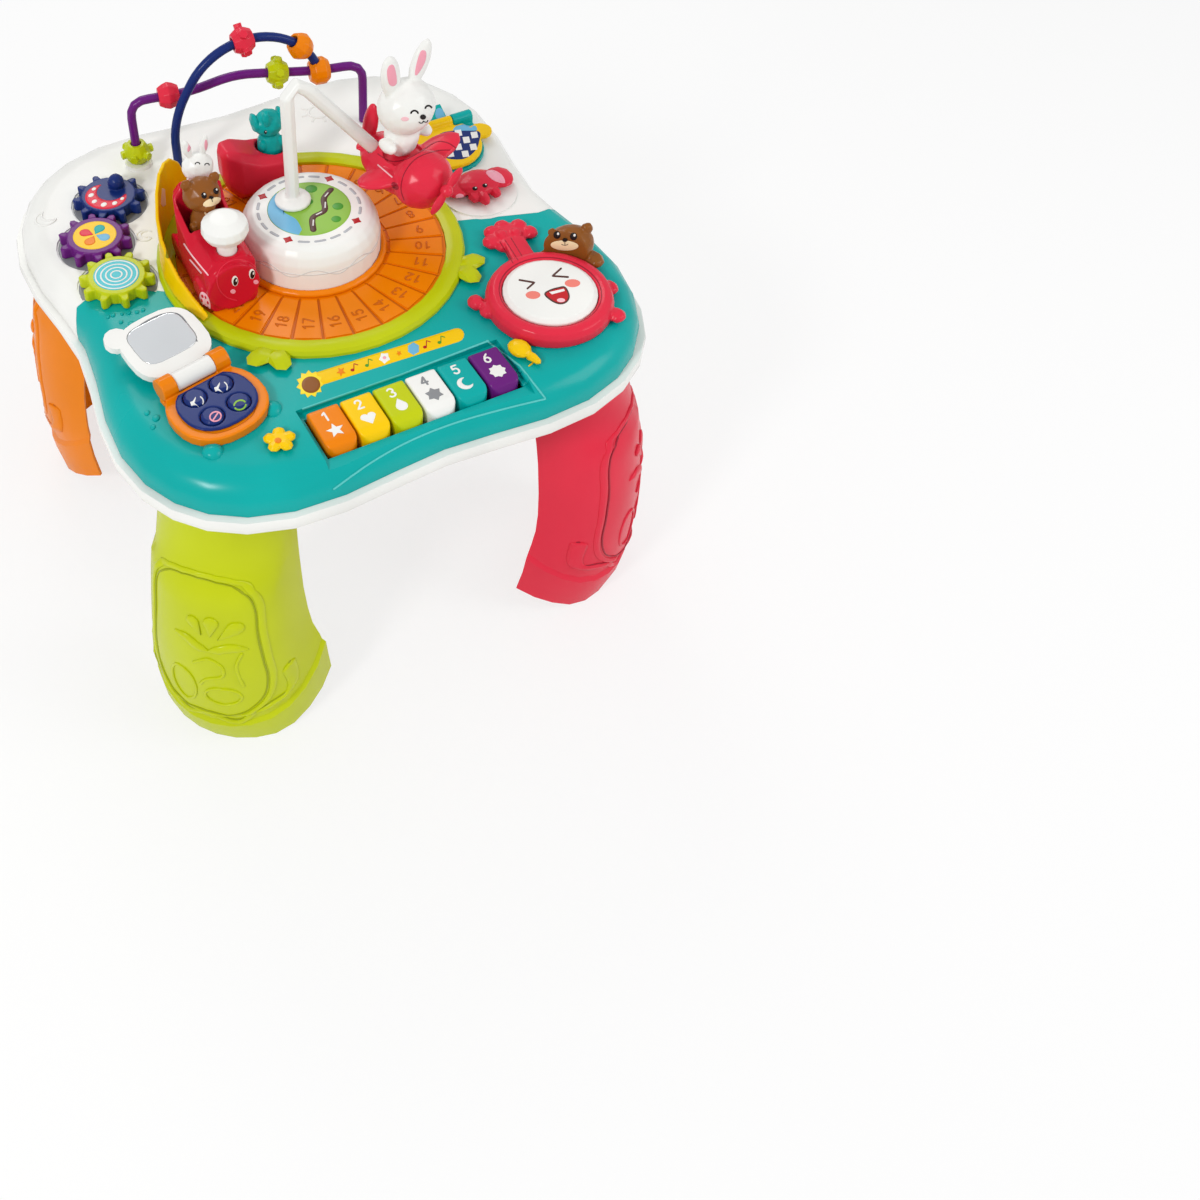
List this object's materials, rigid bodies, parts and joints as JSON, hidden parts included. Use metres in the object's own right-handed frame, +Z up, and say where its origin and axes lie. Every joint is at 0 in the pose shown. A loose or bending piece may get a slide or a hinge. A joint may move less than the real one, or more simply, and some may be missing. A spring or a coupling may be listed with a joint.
{
  "type": "musical activity table",
  "caption": "Four-legged play table with piano keys, a drum, a phone, meshed gears, bead wires and a carousel that carries a train, a boat and a plane.",
  "frame": {"origin": "on the floor at the middle of the table; the carousel's axis stands 8 mm to the left of it", "axes": "+Z up, +Y to the back of the table, +X to the right as the child at the keys sees it"},
  "size_m": [0.467, 0.4728, 0.4898],
  "materials": {
    "teal": "gloss",
    "white": "gloss",
    "green": "gloss",
    "red": "gloss",
    "orange": "gloss",
    "yellow": "gloss",
    "purple": "gloss",
    "navy": "gloss",
    "brown": "gloss",
    "grey": "gloss",
    "board": "gloss",
    "mirror": "polished"
  },
  "bodies": {
    "table": {"base_tray": "white", "top_shell_front": "teal", "top_shell_rear": "white", "battery_door": "white", "speaker": "grey", "circuit_board": "board", "battery_holder": "grey", "track_plate": "orange", "track_ring": "green", "tunnel_panel": "yellow", "wire_purple": "purple", "wire_blue": "navy", "wire_joint": "orange", "book_base": "teal", "drum_frame": "red", "drum_bear": "brown", "phone_base": "orange", "keypad_panel": "navy", "flower_light": "yellow", "balloon_light": "yellow"},
    "leg_front_left": {"leg_front_left": "green"},
    "leg_front_right": {"leg_front_right": "red"},
    "leg_rear_left": {"leg_rear_left": "orange"},
    "leg_rear_right": {"leg_rear_right": "yellow"},
    "key_1": {"key_1": "orange"},
    "key_2": {"key_2": "yellow"},
    "key_3": {"key_3": "green"},
    "key_4": {"key_4": "white"},
    "key_5": {"key_5": "teal"},
    "key_6": {"key_6": "purple"},
    "phone_button_1": {"phone_button_1": "navy"},
    "phone_button_2": {"phone_button_2": "navy"},
    "phone_button_3": {"phone_button_3": "navy"},
    "phone_button_4": {"phone_button_4": "navy"},
    "phone_cover": {"phone_cover": "white", "mirror": "mirror"},
    "drum_pad": {"drum_pad": "white"},
    "elephant_button": {"elephant_button": "red"},
    "gear_back": {"gear_back": "navy"},
    "gear_middle": {"gear_middle": "purple"},
    "gear_front": {"gear_front": "green"},
    "carousel": {"hub": "white", "carousel_ring": "orange", "train_body": "red", "train_chimney": "white", "train_bear": "brown", "train_rabbit": "white", "boat_body": "red", "boat_elephant": "teal", "plane_arm": "white", "plane_body": "red", "plane_rabbit": "white"},
    "propeller": {"propeller": "red"},
    "book_page": {"book_page": "yellow"},
    "bead_green_lower": {"bead_green_lower": "green"},
    "bead_red": {"bead_red": "red"},
    "bead_green_upper": {"bead_green_upper": "green"},
    "bead_flower": {"bead_flower": "red"},
    "bead_orange": {"bead_orange": "orange"},
    "power_switch": {"power_switch": "grey"}
  },
  "joints": [
    {"name": "leg_front_left_plug", "type": "slide", "parent": "table", "child": "leg_front_left", "axis": [0, 0, -1], "range_m": [0, 0.06]},
    {"name": "leg_front_right_plug", "type": "slide", "parent": "table", "child": "leg_front_right", "axis": [0, 0, -1], "range_m": [0, 0.06]},
    {"name": "leg_rear_left_plug", "type": "slide", "parent": "table", "child": "leg_rear_left", "axis": [0, 0, -1], "range_m": [0, 0.06]},
    {"name": "leg_rear_right_plug", "type": "slide", "parent": "table", "child": "leg_rear_right", "axis": [0, 0, -1], "range_m": [0, 0.06]},
    {"name": "key_1_press", "type": "hinge", "parent": "table", "child": "key_1", "pos_m": [-0.07625, -0.1616, 0.304], "axis": [1, 0, 0], "range_deg": [0, 4], "stiffness_Nm_per_rad": 0.3, "springref_deg": -11.46},
    {"name": "key_2_press", "type": "hinge", "parent": "table", "child": "key_2", "pos_m": [-0.04895, -0.1616, 0.304], "axis": [1, 0, 0], "range_deg": [0, 4], "stiffness_Nm_per_rad": 0.3, "springref_deg": -11.46},
    {"name": "key_3_press", "type": "hinge", "parent": "table", "child": "key_3", "pos_m": [-0.02165, -0.1616, 0.304], "axis": [1, 0, 0], "range_deg": [0, 4], "stiffness_Nm_per_rad": 0.3, "springref_deg": -11.46},
    {"name": "key_4_press", "type": "hinge", "parent": "table", "child": "key_4", "pos_m": [0.00565, -0.1616, 0.304], "axis": [1, 0, 0], "range_deg": [0, 4], "stiffness_Nm_per_rad": 0.3, "springref_deg": -11.46},
    {"name": "key_5_press", "type": "hinge", "parent": "table", "child": "key_5", "pos_m": [0.03295, -0.1616, 0.304], "axis": [1, 0, 0], "range_deg": [0, 4], "stiffness_Nm_per_rad": 0.3, "springref_deg": -11.46},
    {"name": "key_6_press", "type": "hinge", "parent": "table", "child": "key_6", "pos_m": [0.06025, -0.1616, 0.304], "axis": [1, 0, 0], "range_deg": [0, 4], "stiffness_Nm_per_rad": 0.3, "springref_deg": -11.46},
    {"name": "phone_button_1_press", "type": "slide", "parent": "table", "child": "phone_button_1", "axis": [0, 0, -1], "range_m": [0, 0.0016], "stiffness_N_per_m": 300, "springref_m": -0.003},
    {"name": "phone_button_2_press", "type": "slide", "parent": "table", "child": "phone_button_2", "axis": [0, 0, -1], "range_m": [0, 0.0016], "stiffness_N_per_m": 300, "springref_m": -0.003},
    {"name": "phone_button_3_press", "type": "slide", "parent": "table", "child": "phone_button_3", "axis": [0, 0, -1], "range_m": [0, 0.0016], "stiffness_N_per_m": 300, "springref_m": -0.003},
    {"name": "phone_button_4_press", "type": "slide", "parent": "table", "child": "phone_button_4", "axis": [0, 0, -1], "range_m": [0, 0.0016], "stiffness_N_per_m": 300, "springref_m": -0.003},
    {"name": "phone_cover_fold", "type": "hinge", "parent": "table", "child": "phone_cover", "pos_m": [-0.15186, -0.10152, 0.332], "axis": [0.9781, 0.2079, 0], "range_deg": [0, 168]},
    {"name": "drum_press", "type": "slide", "parent": "table", "child": "drum_pad", "axis": [0, 0, -1], "range_m": [0, 0.002], "stiffness_N_per_m": 800, "springref_m": -0.003},
    {"name": "elephant_press", "type": "slide", "parent": "table", "child": "elephant_button", "axis": [0, 0, -1], "range_m": [0, 0.002], "stiffness_N_per_m": 500, "springref_m": -0.003},
    {"name": "gear_back_spin", "type": "hinge", "parent": "table", "child": "gear_back", "pos_m": [-0.138, 0.133, 0.3255], "axis": [0, 0, 1], "continuous": true},
    {"name": "gear_middle_spin", "type": "hinge", "parent": "table", "child": "gear_middle", "pos_m": [-0.166, 0.08613, 0.3255], "axis": [0, 0, 1], "continuous": true},
    {"name": "gear_front_spin", "type": "hinge", "parent": "table", "child": "gear_front", "pos_m": [-0.166, 0.03153, 0.3255], "axis": [0, 0, 1], "continuous": true},
    {"name": "carousel_spin", "type": "hinge", "parent": "table", "child": "carousel", "pos_m": [-0.008, 0, 0.32], "axis": [0, 0, 1], "continuous": true},
    {"name": "propeller_spin", "type": "hinge", "parent": "carousel", "child": "propeller", "pos_m": [0.08776, -0.05516, 0.387], "axis": [0.2419, -0.9703, 0], "continuous": true},
    {"name": "book_page_turn", "type": "hinge", "parent": "table", "child": "book_page", "pos_m": [0.154, 0.097, 0.329], "axis": [-1, 0, 0], "range_deg": [0, 150]},
    {"name": "bead_green_lower_slide", "type": "slide", "parent": "table", "child": "bead_green_lower", "axis": [0, 0, 1], "range_m": [0, 0.02]},
    {"name": "bead_red_slide", "type": "slide", "parent": "table", "child": "bead_red", "axis": [0.9848, -0.1738, 0], "range_m": [-0.006, 0.001]},
    {"name": "bead_green_upper_slide", "type": "slide", "parent": "table", "child": "bead_green_upper", "axis": [0.9762, -0.1723, -0.1319], "range_m": [-0.01, 0.01]},
    {"name": "bead_flower_slide", "type": "hinge", "parent": "table", "child": "bead_flower", "pos_m": [0.006, 0.14722, 0.368], "axis": [-0.0376, -0.9993, 0], "range_deg": [-8, 8]},
    {"name": "bead_orange_slide", "type": "hinge", "parent": "table", "child": "bead_orange", "pos_m": [0.006, 0.14722, 0.368], "axis": [-0.0376, -0.9993, 0], "range_deg": [-7, 7]},
    {"name": "power_switch_slide", "type": "slide", "parent": "table", "child": "power_switch", "axis": [1, 0, 0], "range_m": [0, 0.005]}
  ],
  "couplings": [
    {"joint": "gear_middle_spin", "follows": "gear_back_spin", "ratio": -1},
    {"joint": "gear_front_spin", "follows": "gear_back_spin", "ratio": 1}
  ]
}
